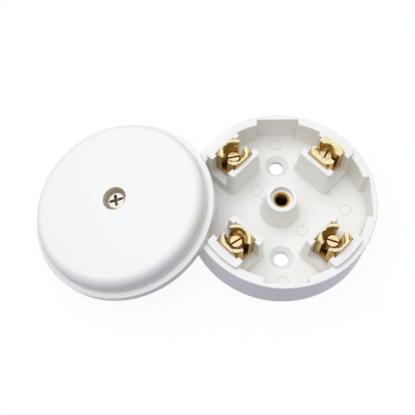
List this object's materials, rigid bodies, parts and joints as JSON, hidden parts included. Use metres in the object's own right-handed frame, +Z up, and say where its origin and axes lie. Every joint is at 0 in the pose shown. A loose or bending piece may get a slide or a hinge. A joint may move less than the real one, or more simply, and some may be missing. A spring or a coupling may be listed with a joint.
{
  "type": "junction box",
  "caption": "Round moulded junction box for fixed wiring: open base with brass pillar terminals and knock-out cable entries, and its domed screw-on cover leaning on the rim.",
  "frame": {"origin": "centre of the base's underside, midway between its two fixing holes", "axes": "+Z up out of the open base, +Y through the two fixing holes, +X away from the cover that lies beside the base"},
  "size_m": [0.1071, 0.0604, 0.022],
  "materials": {
    "moulding": "white moulded thermoset, glossy",
    "brass": "machined brass, bright",
    "clamp_screw": "machined brass, bright",
    "steel": "nickel-plated steel",
    "washer": "natural nylon"
  },
  "bodies": {
    "box": {"base": "moulding", "centre_insert": "brass", "lid": "moulding", "terminal_nw": "brass", "terminal_ne": "brass", "terminal_sw": "brass", "terminal_se": "brass"},
    "clamp_screw_nw": {"clamp_screw_nw": "clamp_screw"},
    "clamp_screw_ne": {"clamp_screw_ne": "clamp_screw"},
    "clamp_screw_sw": {"clamp_screw_sw": "clamp_screw"},
    "clamp_screw_se": {"clamp_screw_se": "clamp_screw"},
    "lid_screw_washer": {"lid_screw_washer": "washer"},
    "lid_screw": {"lid_screw": "steel"}
  },
  "joints": [
    {"name": "clamp_screw_nw_travel", "type": "slide", "parent": "box", "child": "clamp_screw_nw", "axis": [0, 0, 1], "range_m": [-0.00005, 0.0037]},
    {"name": "clamp_screw_ne_travel", "type": "slide", "parent": "box", "child": "clamp_screw_ne", "axis": [0, 0, 1], "range_m": [-0.00085, 0.0029]},
    {"name": "clamp_screw_sw_travel", "type": "slide", "parent": "box", "child": "clamp_screw_sw", "axis": [0, 0, 1], "range_m": [-0.00125, 0.0025]},
    {"name": "clamp_screw_se_travel", "type": "slide", "parent": "box", "child": "clamp_screw_se", "axis": [0, 0, 1], "range_m": [-0.00085, 0.0029]},
    {"name": "lid_screw_lift", "type": "slide", "parent": "box", "child": "lid_screw_washer", "axis": [-0.2468, -0.0084, 0.969], "range_m": [0, 0.00085]},
    {"name": "lid_screw_turn", "type": "hinge", "parent": "lid_screw_washer", "child": "lid_screw", "pos_m": [-0.05042, -0.00172, 0.01382], "axis": [-0.2468, -0.0084, 0.969], "continuous": true}
  ]
}
